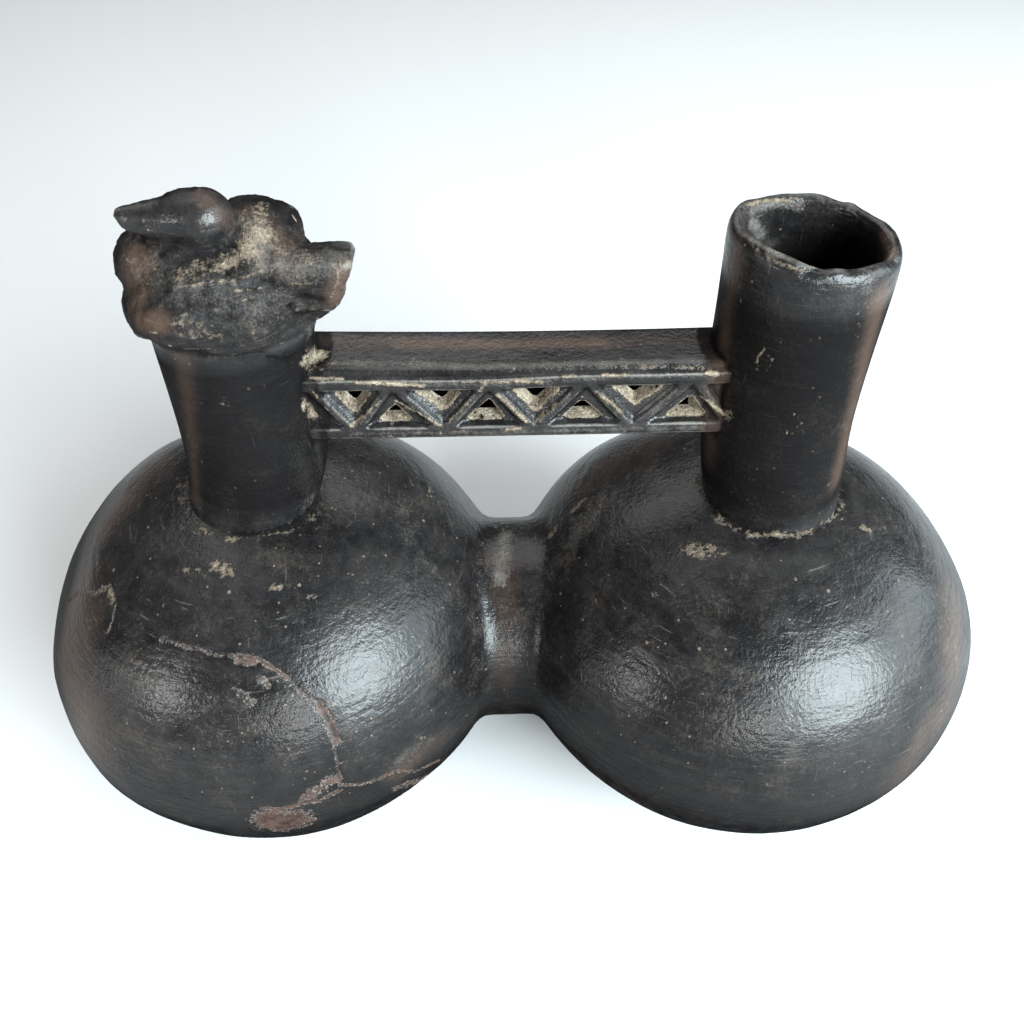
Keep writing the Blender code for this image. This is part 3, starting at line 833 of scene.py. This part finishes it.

# %% [markdown]
# ## Where the clay is dirty, worn or brown, and where shade is painted
#
# Burial left tan soil in every hollow and scuffs on every swelling. The flanks are browner,
# partly in the clay and partly as a painted reflection of a brown table, and one grey scuff
# on the right chamber's edge is a painted reflection of the white floor. Eight values per
# point of the mesh carry that to the material. Soil, brown, scuff and crack come from traced
# marks. Edge and hollow are worked out from how the surface bends, so they hold for the
# hidden sides as well; hollow darkens the creases as painted shade. Unrubbed and painted
# shade go by height and by part: the rubbing stone hardly reached the undersides, the necks
# and the figure, and the undersides and the necks are painted darker as shade.

# %% Mark the skin
SOIL = (
    # left chamber and its neck
    (15, 0.8, ((217, 565), (227, 571))), (8, 0.6, ((178, 568), (209, 574))),
    (8, 0.6, ((150, 559),)), (9, 0.6, ((274, 586), (283, 587))), (5, 0.5, ((257, 577),)),
    (6, 0.6, ((305, 596), (316, 598))), (8, 0.55, ((368, 594),)), (12, 0.32, ((407, 594),)),
    (4, 0.8, ((395, 675), (401, 677))), (4, 0.8, ((410, 739),)), (4, 0.8, ((423, 739),)),
    (4, 0.7, ((168, 789),)), (6, 0.7, ((174, 478), (177, 489))), (8, 0.8, ((110, 589), (112, 603))),
    (6, 0.7, ((289, 532),)), (6, 0.6, ((270, 546),)), (7, 0.7, ((329, 505), (343, 507))),
    (7, 0.6, ((316, 519),)), (6, 0.6, ((431, 481), (429, 497))), (5, 0.5, ((418, 464),)),
    (4, 0.6, ((199, 532), (225, 542))), (11, 0.6, ((223, 396), (226, 410))),
    (6, 0.62, ((178, 500), (188, 514), (200, 528), (224, 540), (250, 536))),
    (5, 0.45, ((250, 536), (286, 532), (306, 522), (322, 506))),
    # tube
    (9, 0.5, ((497, 527), (503, 534))), (6, 0.45, ((530, 606), (531, 633))),
    (4, 0.6, ((467, 672),)), (9, 0.4, ((474, 520), (482, 548))), (6, 0.45, ((480, 640), (478, 664))),
    # right chamber and spout
    (19, 0.62, ((688, 549), (710, 551))), (6, 0.55, ((720, 552), (740, 555))),
    (5, 0.45, ((652, 593), (661, 592))), (4, 0.5, ((654, 540),)), (4, 0.5, ((703, 615),)),
    (9, 0.7, ((549, 537), (556, 528))), (8, 0.65, ((570, 513), (586, 498))),
    (5, 0.5, ((695, 442),)), (4, 0.6, ((907, 550),)), (3, 0.6, ((769, 789),)),
    (3, 0.6, ((805, 789),)), (10, 0.6, ((856, 524), (870, 531))),
    (7, 0.75, ((713, 515), (728, 525), (745, 533), (757, 536), (775, 534), (789, 537))),
    (6, 0.6, ((789, 537), (810, 531), (827, 521), (836, 514), (844, 505))),
    (7, 0.7, ((746, 206), (762, 200), (795, 200))),
    (4, 0.55, ((803, 270), (820, 273))), (8, 0.4, ((885, 240), (890, 252))),
    (5, 0.6, ((748, 238), (758, 251), (775, 262), (797, 269))),
    # figure
    (34, 0.58, ((256, 214), (262, 236), (248, 250))), (16, 0.62, ((262, 205), (258, 240))),
    (22, 0.52, ((232, 262), (205, 268), (182, 274))), (9, 0.7, ((222, 256),)),
    (26, 0.4, ((285, 255), (318, 258))), (30, 0.38, ((180, 325), (215, 335))),
    (5, 0.6, ((176, 288), (205, 283), (232, 281), (262, 272))),
    (14, 0.45, ((200, 262), (182, 272))), (4, 0.9, ((293, 216), (296, 221))),
    (4, 0.7, ((346, 250), (340, 261), (337, 284), (331, 299))),
    (3, 0.5, ((219, 315), (224, 322))), (3, 0.5, ((232, 316), (247, 307))),
    (3, 0.8, ((233, 292), (261, 288))), (3, 0.8, ((245, 299), (256, 295))),
    (3, 0.6, ((295, 277), (313, 276))), (3, 0.6, ((289, 284), (312, 285))),
    (3, 0.7, ((245, 339), (253, 332))), (4, 0.8, ((149, 331), (159, 333))),
    (9, 0.4, ((125, 256), (132, 262))), (6, 0.4, ((150, 246), (158, 250))),
    (5, 0.5, ((184, 349), (215, 349))), (7, 0.35, ((284, 248), (290, 262))),
    # bridge: the blind corner, the top's deposit, rails and ribs
    (11, 0.85, ((303, 404), (314, 416))), (18, 0.95, ((306, 360), (320, 354))),
    (9, 0.5, ((322, 368), (336, 362))), (5, 0.5, ((402, 345), (420, 337))),
    (6, 0.45, ((612, 368), (664, 367), (709, 368))), (8, 0.3, ((350, 350), (390, 352))),
    (5, 0.8, ((311, 378), (343, 379))), (6, 0.85, ((356, 382), (393, 384), (423, 386))),
    (5, 0.75, ((461, 382), (508, 382))), (6, 0.9, ((517, 381), (541, 382))),
    (5, 0.8, ((560, 377), (575, 376))), (5, 0.85, ((603, 375), (625, 375))),
    (7, 0.9, ((707, 373), (716, 374))), (4, 0.6, ((311, 390), (326, 408), (341, 424))),
    (6, 0.75, ((352, 425), (366, 414), (380, 402))), (5, 0.85, ((396, 401), (420, 414), (440, 425))),
    (5, 0.65, ((450, 420), (470, 400))), (5, 0.8, ((480, 391), (484, 385))),
    (6, 0.9, ((498, 396), (512, 408), (526, 421))), (6, 0.7, ((536, 421), (556, 403))),
    (6, 0.8, ((597, 392), (612, 404), (622, 413))), (4, 0.4, ((640, 420), (668, 400))),
    (6, 0.85, ((702, 397), (716, 408), (728, 418))), (4, 0.55, ((436, 434), (470, 431))),
    (5, 0.7, ((502, 430), (519, 429))), (4, 0.5, ((380, 437), (410, 436))),
    (7, 0.5, ((697, 446), (688, 452))),
) + SPOUT_MARKS
# Brown marks: the clay's own brown, and on the flanks partly a painted reflection of a brown table.
BROWN_AND_REFLECTION = (
    (90, 0.7, ((78, 600), (66, 660), (90, 740))), (60, 0.6, ((110, 520), (150, 470))),
    (26, 0.7, ((182, 360), (190, 430), (196, 500))),
    (20, 0.95, ((400, 343), (500, 344), (600, 342))), (22, 0.5, ((320, 340), (400, 342))),
    (22, 0.5, ((620, 342), (700, 340))),
    (30, 0.7, ((735, 250), (722, 350), (708, 460))), (34, 0.9, ((880, 300), (850, 420), (836, 480))),
    (60, 0.55, ((955, 600), (950, 700), (900, 780))), (14, 1.0, ((884, 234), (890, 254))),
    (60, 0.45, ((580, 480), (640, 450))),
    (22, 1.1, ((140, 322), (160, 322))), (40, 0.8, ((138, 262), (135, 300))),
    (26, 0.55, ((200, 195), (222, 215))),
    (40, 0.5, ((400, 770), (440, 740))), (40, 0.25, ((120, 700), (160, 780))),
    (30, 0.45, ((505, 560), (505, 680))), (26, 0.8, ((345, 270), (335, 300))),
    (40, 0.5, ((250, 215), (290, 260))),
    (60, 0.35, ((570, 760), (620, 790))),
)
# Scuffs turn the skin grey and dull; the one on the right chamber's edge is a painted reflection.
SCUFFS_AND_REFLECTION = (
    (16, 0.9, ((752, 222), (762, 240), (776, 252))), (12, 0.6, ((750, 212), (775, 204), (800, 206))),
    (60, 0.42, ((145, 275), (210, 295), (270, 300))), (32, 0.7, ((255, 225), (262, 262))),
    (44, 0.6, ((285, 262), (325, 262))), (36, 0.35, ((135, 265), (135, 295))),
    (36, 0.25, ((190, 330), (255, 332), (285, 322))), (7, 0.5, ((310, 381), (420, 385), (515, 384))),
    (7, 0.5, ((515, 384), (620, 377), (716, 374))), (7, 0.5, ((350, 434), (470, 433), (700, 428))),
    # On the right chamber's edge: a painted reflection of the white floor, not a scuff.
    (24, 0.3, ((945, 600), (958, 660), (945, 720))),
    (16, 0.6, ((310, 330), (308, 400), (322, 470))), (22, 0.3, ((868, 270), (858, 360), (840, 440))),
    (22, 0.5, ((400, 760), (430, 740))),
    (60, 0.2, ((150, 580), (140, 680))), (70, 0.2, ((200, 700), (230, 760))),
    (40, 0.25, ((482, 570), (476, 640), (482, 700))), (50, 0.3, ((395, 505), (425, 560))),
    (18, 0.7, ((505, 535), (500, 580))), (40, 0.45, ((300, 450), (310, 500))),
    (40, 0.45, ((600, 500), (560, 560))), (34, 0.2, ((690, 560), (740, 590))),
    (40, 0.35, ((830, 470), (800, 500))), (14, 0.6, ((330, 362), (480, 366), (700, 360))),
    (40, 0.15, ((180, 300), (150, 290))),
    (34, 0.1, ((410, 600), (420, 640))), (40, 0.3, ((930, 560), (900, 530))),
)
# The soil ring at the foot of a neck: its reach across and up, in millimetres
JOINT_REACH, JOINT_RISE = 3.2, 4.5
# Axis, radius and height of each neck's foot, and the soil there in front and behind
LEFT_FOOT, SPOUT_FOOT = (-56.0, 14.0, 87.3), (56.2, 14.6, 83.9)
FRONT_SOIL, MORE_BEHIND = 0.25, 0.3
# The back's foot turned brown in the fire up to this height
BACK_BROWN, BROWN_HEIGHT = 0.5, 30.0
# Edge wear grows with how far the skin bends out; painted shade in the creases grows with how far it
# bends in.
EDGE_GAIN, EDGE_START, CREASE_SHADE_GAIN = 1.1, 0.12, 0.9
# The undersides are unrubbed and get painted shade below this height, fully so where the fade ends
UNRUBBED_SHADE_TOP, UNRUBBED_SHADE_FADE = 60.0, 25.0
# Each flank's share, the place along X where it starts and how far it takes to grow
LEFT_FLANK, RIGHT_FLANK = (0.75, -88, 12), (0.45, 96, 10)
NECK_SHARE, FIGURE_SHARE = 0.9, 0.85
# A neck's axis, foot and top, and how far out from the axis its skin reaches
NECKS = ((-52.5, 88, 131), (53.5, 85, 139))
NECK_REACH = 18.5
FIGURE_HEART = (-50.0, -3.0, 140.0)
# Soil lies over all that is in the openwork's hollow
WELL, WELL_SOIL = ((-37, -6.4, 108.2), (38.5, -1.4, 117.4)), 0.76


def bend_of(piece):
    """How far the skin bends outward at each point; inward is negative."""
    points, normals = points_of(piece), normals_of(piece)
    ends = np.zeros(len(piece.data.edges) * 2, int)
    piece.data.edges.foreach_get("vertices", ends)
    first, second = ends.reshape(-1, 2).T
    along, turn = points[second] - points[first], normals[second] - normals[first]
    bend = (along * turn).sum(1) / np.maximum((along ** 2).sum(1), 0.01)
    total = np.bincount(first, bend, len(points)) + np.bincount(second, bend, len(points))
    count = np.bincount(first, minlength=len(points)) + np.bincount(second, minlength=len(points))
    return total / np.maximum(count, 1)


def ring_soil(points, neck_axis, radius, height):
    """Soil caught all round the foot of a neck."""
    out = np.hypot(points[:, 0] - neck_axis, points[:, 1])
    rise = np.abs(points[:, 2] - height)
    return fade(np.abs(out - radius - 0.5), JOINT_REACH) * fade(rise, JOINT_RISE)


def within(points, corners):
    """Which points lie in a box."""
    return ((points > corners[0]) & (points < corners[1])).all(axis=1)


def unrubbed_share(tree, points):
    """How little the stone passed over each point, and how dark the painted shade lies there."""
    under = np.clip((UNRUBBED_SHADE_TOP - points[:, 2]) / UNRUBBED_SHADE_FADE, 0, 1)
    painted_shade = under
    share, start, width = LEFT_FLANK
    under = np.maximum(under, share * np.clip((start - points[:, 0]) / width, 0, 1))
    share, start, width = RIGHT_FLANK
    under = np.maximum(under, share * np.clip((points[:, 0] - start) / width, 0, 1))
    neck_share = np.zeros(len(points))
    for axis, foot, top in NECKS:
        near = np.hypot(points[:, 0] - axis, points[:, 1]) < NECK_REACH
        rise = np.clip((points[:, 2] - foot) / 5, 0, 1) * np.clip((top - points[:, 2]) / 4, 0, 1)
        neck_share += NECK_SHARE * near * rise
    on_figure = fade(np.linalg.norm((points - FIGURE_HEART) / (1.1, 1.3, 1), axis=1), 26)
    above = (points[:, 2] > NECKS[0][2]) & (points[:, 0] < -20)
    broken = FIGURE_SHARE * np.clip(on_figure * 3, 0, 1) * above
    broken *= 1 - traced(points, tree, SMOOTH_SKIN)
    unrubbed = np.maximum(np.maximum(under, neck_share), broken)
    return unrubbed, np.maximum(painted_shade, neck_share)


def mark_skin():
    """Write the eight values."""
    tree, points, bend = skin_of(vessel), points_of(vessel), bend_of(vessel)
    values = {"soil": traced(points, tree, SOIL), "brown_and_reflection": traced(points, tree, BROWN_AND_REFLECTION),
              "scuff_and_reflection": traced(points, tree, SCUFFS_AND_REFLECTION),
              "crack": np.maximum(traced(points, tree, CRACKS), traced(points, tree, SPALLS))}
    joints = np.maximum(ring_soil(points, *LEFT_FOOT), ring_soil(points, *SPOUT_FOOT))
    behind = np.clip(points[:, 1] / 20 + 0.5, 0, 1)
    values["soil"] = np.maximum(values["soil"], joints * (FRONT_SOIL + MORE_BEHIND * behind))
    values["soil"] = np.maximum(values["soil"], WELL_SOIL * within(points, WELL))
    foot_brown = BACK_BROWN * fade(points[:, 2], BROWN_HEIGHT) * behind
    values["brown_and_reflection"] = np.maximum(values["brown_and_reflection"], foot_brown)
    values["unrubbed"], values["painted_shade"] = unrubbed_share(tree, points)
    values["edge"] = np.clip(bend * EDGE_GAIN - EDGE_START, 0, 1)
    # Hollow: painted shade where the skin bends inward.
    values["hollow"] = np.clip(-bend * CREASE_SHADE_GAIN, 0, 1)
    for name, value in values.items():
        stored = vessel.data.attributes.new(name, 'FLOAT', 'POINT')
        stored.data.foreach_set("value", value.astype(np.float32))
        print(name, "on", int((value > 0.1).sum()), "points")


mark_skin()

# %% [markdown]
# ## Wiring a material in sums
#
# A material is a net of nodes. Written as sums it is shorter and easier to follow: a wire is
# a node's output, and adding or multiplying wires adds the Math nodes.

# %% The wire
class Wire:
    """A node's output; sums on wires add Math nodes to the material in hand."""

    tree = None

    def __init__(self, socket):
        self.socket = socket

    @classmethod
    def node(cls, kind, settings, sockets, output=0):
        """Add a node: first its settings, then the values or wires of its sockets."""
        added = cls.tree.nodes.new("ShaderNode" + kind)
        for name, value in settings.items():
            setattr(added, name, value)
        for name, value in sockets.items():
            if isinstance(value, Wire):
                cls.tree.links.new(value.socket, added.inputs[name])
            else:
                added.inputs[name].default_value = value
        return cls(added.outputs[output])

    @classmethod
    def math(cls, operation, first, second=0.0):
        return cls.node("Math", {"operation": operation}, {0: first, 1: second})

    def __add__(self, other):
        return self.math('ADD', self, other)

    def __sub__(self, other):
        return self.math('SUBTRACT', self, other)

    def __rsub__(self, other):
        return self.math('SUBTRACT', other, self)

    def __mul__(self, other):
        return self.math('MULTIPLY', self, other)

    __radd__, __rmul__ = __add__, __mul__

    def step(self, start, end):
        """A soft step: 0 below the start, 1 above the end."""
        return self.node("MapRange", {"interpolation_type": 'SMOOTHSTEP'},
                         {"Value": self, "From Min": start, "From Max": end})

    def over(self, other):
        """The greater of two."""
        return self.math('MAXIMUM', self, other)


def tint(below, above, mask):
    """A colour laid over another where the mask is 1."""
    return Wire.node("Mix", {"data_type": 'RGBA'}, {0: mask, 6: below, 7: above}, 2)


def colour(red, green, blue):
    return (red, green, blue, 1.0)


def stored(name):
    """A value that was marked on the skin."""
    return Wire.node("Attribute", {"attribute_name": name}, {}, 2)


def clouds(scale, detail=3.0, stretch=(1, 1, 1), turn=(0, 0, 0), roughness=0.5):
    """Noise on the vessel's own coordinates; the scale counts its lumps per metre."""
    place = Wire.node("TexCoord", {}, {}, 3)
    place = Wire.node("Mapping", {}, {"Vector": place, "Scale": stretch,
                                      "Rotation": [math.radians(part) for part in turn]})
    return Wire.node("TexNoise", {}, {"Vector": place, "Scale": scale, "Detail": detail,
                                      "Roughness": roughness})


def specks(scale, size, share, seed):
    """Small round dots, kept in a share of the cells."""
    place = Wire.node("TexCoord", {}, {}, 3)
    place = Wire.node("VectorMath", {"operation": 'ADD'}, {0: place, 1: (seed, seed, seed)})
    cells = Wire.node("TexVoronoi", {}, {"Vector": place, "Scale": scale}, 0)
    kind = Wire.node("TexVoronoi", {}, {"Vector": place, "Scale": scale}, 1)
    kind = Wire.node("SeparateColor", {}, {"Color": kind})
    return (1 - cells.step(size * 0.7, size)) * kind.step(1 - share - 0.01, 1 - share)


print("wires ready")

# %% [markdown]
# ## Burnished black clay
#
# The pot was rubbed with a smooth stone when leather-hard, then fired in smoke. Each rub
# leaves a narrow, slightly hollow, shiny stroke, so the sheen is broken into short bands.
# Where the skin is scuffed it turns grey and dull, cracks show redder clay, and the soil is
# tan, matt and thick enough to stand off the wall. The grey of one scuff and the brown of the
# flanks are partly painted reflection, and the undersides, the necks and the creases are
# darkened with painted shade. The layers are built in that order.
#
# One shader can't be both polished and quite matt, because its specular level has to be the
# same all over for the export. So a second shader with the same colour and no specular
# light is mixed in where the stone didn't rub and where the soil lies.

# %% Make the clay
BLACK = colour(0.0026, 0.0023, 0.0024)
DARK_GREY = colour(0.0096, 0.0088, 0.0088)
WARM = colour(0.030, 0.0190, 0.0140)
SCUFF_AND_REFLECTION_GREY = colour(0.092, 0.084, 0.074)
RED_CLAY = colour(0.011, 0.0060, 0.0050)
RED_LIGHT = colour(0.034, 0.0195, 0.0150)
PINK_EDGE = colour(0.140, 0.112, 0.095)
TAN_SOIL = colour(0.078, 0.060, 0.043)
PALE_SOIL = colour(0.22, 0.190, 0.146)

# Specular levels of the rubbed and of the matt clay
POLISHED, MATT = 0.16, 0.0
DRY_SOIL_ROUGHNESS = 0.93
RELIEF_HEIGHT = 0.0004

clay = bpy.data.materials.new("burnished_blackware")
clay.use_nodes = True
Wire.tree = clay.node_tree
shader = clay.node_tree.nodes["Principled BSDF"]

cloud, mottle = clouds(26, 1), clouds(120, 3, roughness=0.6)
patch, fine = clouds(330, 4, roughness=0.65), clouds(1000, 2, roughness=0.6)
grain = clouds(2300, 1, roughness=0.6)
rubs = clouds(1.0, 2, (70, 70, 620), (0, 9, 0))
cross_rubs = clouds(1.0, 2, (130, 130, 1000), (14, -24, 0))
scratches = clouds(1.0, 1, (150, 150, 3600), (6, 12, 0)).step(0.70, 0.78)
long_scratches = clouds(1.0, 1, (3000, 130, 130), (0, 40, 25)).step(0.745, 0.79)
soil, crack, brown_and_reflection = stored("soil"), stored("crack"), stored("brown_and_reflection")
scuff_and_reflection, edge, hollow = stored("scuff_and_reflection"), stored("edge"), stored("hollow")
unrubbed, painted_shade = stored("unrubbed"), stored("painted_shade")

ragged = patch * 0.45 + fine * 0.55
uneven = (ragged - 0.5) * 2.6
soil_mask = (soil + uneven * soil.step(0.05, 0.4)).step(0.32, 0.66) * (
    0.25 + soil * 0.5 + grain * 0.4)
dust = (mottle * 0.45 + fine * 0.35 + grain * 0.25).step(0.54, 0.70) * 0.42
dots = specks(300, 0.13, 0.10, 0.0).over(specks(700, 0.20, 0.08, 3.0)) * fine.step(0.35, 0.5)
scuff_and_reflection_mask = (scuff_and_reflection * 0.75 + patch * 0.5 + grain * 0.4 - 0.36).step(0.25, 0.95)
crack_edge = (crack + uneven).step(0.14, 0.34) * crack.step(0.03, 0.14)
crack_core = (crack + uneven).step(0.42, 0.62)
edge_mask = (edge * (0.3 + ragged * 1.4)).step(0.25, 0.75)

lighter = (cloud * 0.35 + mottle * 0.25 + patch * 0.35 + grain * 0.15).step(0.42, 0.68)
tone = tint(BLACK, DARK_GREY, lighter)
# Brown: the clay's own brown, and on the flanks partly a painted reflection of a brown table.
tone = tint(tone, WARM, (brown_and_reflection * 0.95 + mottle * 0.4 + fine * 0.3 - 0.36).step(0.05, 0.95))
# Scuffs in grey; on the right chamber's edge the grey is a painted reflection of the white floor.
tone = tint(tone, SCUFF_AND_REFLECTION_GREY, scuff_and_reflection_mask.over(rubs.step(0.52, 0.75) * 0.05) * 0.72)
tone = tint(tone, SCUFF_AND_REFLECTION_GREY, (scratches + long_scratches).step(0.2, 1.0) * 0.22)
tone = tint(tone, SCUFF_AND_REFLECTION_GREY, edge_mask * 0.6)
tone = tint(tone, TAN_SOIL, (dust * (0.34 + scuff_and_reflection)).over(dots * 0.8))
# Painted shade: the undersides and the necks are laid over with black, less where they are brown.
tone = tint(tone, BLACK, painted_shade * (0.55 + patch * 0.55) * (1 - brown_and_reflection * 0.75))
tone = tint(tone, PINK_EDGE, crack_edge * (0.07 + grain.step(0.48, 0.60) * 0.38))
bared_clay = tint(RED_CLAY, RED_LIGHT, (patch * 0.7 + fine * 0.3).step(0.40, 0.60))
tone = tint(tone, bared_clay, crack_core * 0.9)
dry_soil = tint(TAN_SOIL, PALE_SOIL, (patch * 0.5 + grain * 0.4 + soil * 0.5).step(0.72, 1.06))
tone = tint(tone, dry_soil, soil_mask)
# Painted shade: the creases are darkened with black where no soil lies.
tone = tint(tone, BLACK, hollow.step(0.08, 0.45) * (1 - soil_mask) * 0.8)

dull = 0.15 + mottle * 0.10 + rubs * 0.08 + scuff_and_reflection_mask * 0.42 + grain * 0.10
dull = dull + unrubbed * 0.15 + edge_mask * 0.15 + crack_edge * 0.3 + dots * 0.2
rough = Wire.node("Mix", {"data_type": 'FLOAT'}, {0: soil_mask, 2: dull, 3: DRY_SOIL_ROUGHNESS})

relief = rubs * 0.34 + cross_rubs * 0.20 + mottle * 0.35 + patch * 0.34
relief = relief + fine * 0.30 + grain * 0.08
relief = relief + soil_mask * (0.15 + ragged * 0.5) - crack_edge * ragged * 0.6
relief = relief - (scratches + long_scratches) * 0.06 + scuff_and_reflection_mask * fine * 0.5
bump = Wire.node("Bump", {}, {"Strength": 1.0, "Distance": RELIEF_HEIGHT, "Height": relief})

for name, wire in (("Base Color", tone), ("Roughness", rough), ("Normal", bump)):
    clay.node_tree.links.new(wire.socket, shader.inputs[name])
shader.inputs["Specular IOR Level"].default_value = POLISHED
matt = Wire.node("BsdfPrincipled", {}, {"Base Color": tone, "Roughness": rough, "Normal": bump,
                                        "Specular IOR Level": MATT})
matt_share = (unrubbed * (0.75 + patch * 0.4)).over(soil_mask)
mixed = Wire.node("MixShader", {}, {0: matt_share, 1: Wire(shader.outputs[0]), 2: matt})
clay.node_tree.links.new(mixed.socket, clay.node_tree.nodes["Material Output"].inputs["Surface"])
vessel.data.materials.append(clay)
print("clay:", len(clay.node_tree.nodes), "nodes")

# %% [markdown]
# ## Floor and light
#
# The vessel stands on a plain pale floor, just below its base so that the two don't touch.
# Burnished clay shows the lamps as soft patches, so each lamp is a rectangle, and its place
# and size set where a patch falls and how wide it is. A large window to the right gives
# the bright patches, small lamps give the lesser ones, and one above fills in.

# %% Floor and light
FLOOR_GREY = (0.33, 0.33, 0.33, 1.0)
FLOOR_ROUGHNESS = 0.9
AIM = Vector((0, 0, 0.05))
WORLD_LIGHT = 0.10
COOL, WHITE = (0.82, 0.95, 1.0), (1.0, 1.0, 1.0)

bpy.ops.mesh.primitive_plane_add(size=6.0, location=(0, 1.0, -0.0003))
floor = named("pale_floor")
pale = bpy.data.materials.new("pale_floor")
pale.use_nodes = True
floor_shader = pale.node_tree.nodes["Principled BSDF"]
floor_shader.inputs["Base Color"].default_value = FLOOR_GREY
floor_shader.inputs["Roughness"].default_value = FLOOR_ROUGHNESS
floor.data.materials.append(pale)


def soft_light(name, place, width, height, power, hue=WHITE):
    """A rectangular lamp that faces the vessel, in metres and watts."""
    data = bpy.data.lights.new(name, 'AREA')
    data.shape = 'RECTANGLE'
    data.size, data.size_y, data.energy = width, height, power
    data.color = hue
    lamp = bpy.data.objects.new(name, data)
    lamp.location = place
    lamp.rotation_euler = (AIM - lamp.location).to_track_quat('-Z', 'Y').to_euler()
    bpy.context.scene.collection.objects.link(lamp)


soft_light("window", (0.58, -0.66, 0.48), 0.60, 0.56, 66.0, COOL)
soft_light("wide_window", (1.00, -0.14, 0.42), 0.80, 0.56, 17.0, COOL)
soft_light("left_glow", (-0.60, -0.50, 0.29), 0.12, 0.12, 4.0)
soft_light("left_strip", (-1.0, -0.34, 0.08), 0.08, 0.34, 1.2)
soft_light("front_glow", (0.11, -0.95, 0.30), 0.24, 0.22, 8.0)
soft_light("top", (-0.12, 0.58, 1.15), 1.4, 1.2, 22.0)
world = bpy.data.worlds.new("studio")
world.use_nodes = True
sky = world.node_tree.nodes["Background"]
sky.inputs["Color"].default_value = (1, 1, 1, 1)
sky.inputs["Strength"].default_value = WORLD_LIGHT
bpy.context.scene.world = world
bpy.context.scene.view_settings.view_transform = 'Standard'
print("lamps:", len(bpy.data.lights))
